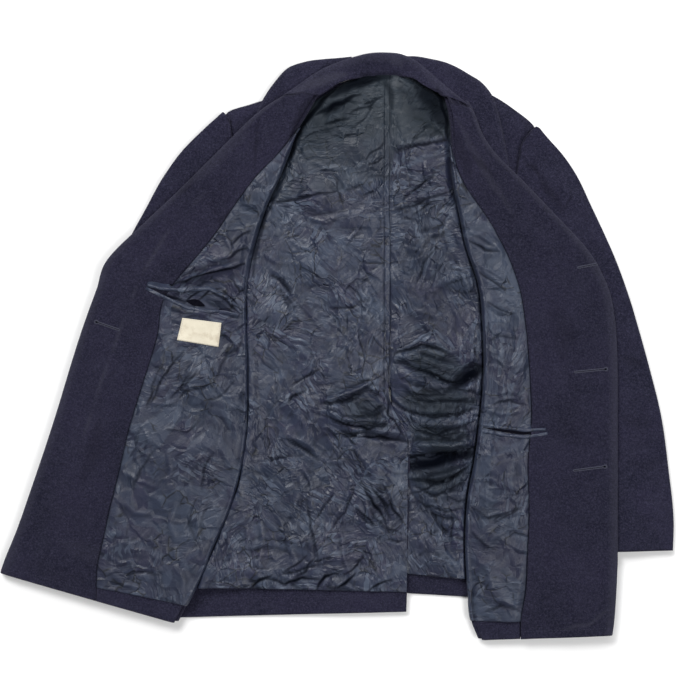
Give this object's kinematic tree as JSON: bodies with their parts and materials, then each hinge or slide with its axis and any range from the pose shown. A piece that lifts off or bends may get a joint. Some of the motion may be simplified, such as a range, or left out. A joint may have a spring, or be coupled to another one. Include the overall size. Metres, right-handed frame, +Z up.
{
  "type": "pea coat",
  "caption": "Double-breasted wool coat laid flat on its back with both fronts thrown open, showing a satin lining, wool facings, inner pockets and a bare label.",
  "frame": {"origin": "centre of the coat's plan, on the surface that it lies on", "axes": "+Z up from the surface, +Y to the collar, +X to the coat's left sleeve (the viewer's right)"},
  "size_m": [0.9578, 0.8359, 0.0342],
  "materials": {
    "wool": "navy wool melton, matt with a short nap",
    "satin_lining": "slate blue satin, crinkled, soft sheen",
    "label_cloth": "cream woven tape, matt",
    "button_plastic": "dark navy, satin"
  },
  "bodies": {
    "root": {"back_left": "wool", "back_right": "wool", "hem_left": "wool", "hem_right": "wool", "front_left": "wool", "front_right": "wool", "front_hem_left": "wool", "front_hem_right": "wool", "facing_left": "wool", "facing_right": "wool", "sleeve_left_top": "wool", "sleeve_left_under": "wool", "sleeve_right_top": "wool", "sleeve_right_under": "wool", "collar": "wool", "collar_fall_left": "wool", "collar_fall_right": "wool", "back_lining_left": "satin_lining", "back_lining_right": "satin_lining", "front_lining_left": "satin_lining", "front_lining_right": "satin_lining", "pocket_left_upper": "satin_lining", "pocket_left_lower": "satin_lining", "pocket_right_upper": "satin_lining", "pocket_right_lower": "satin_lining", "label": "label_cloth", "button_left_1": "button_plastic", "button_left_2": "button_plastic", "button_left_3": "button_plastic", "button_right_1": "button_plastic", "button_right_2": "button_plastic", "button_right_3": "button_plastic"}
  },
  "joints": []
}
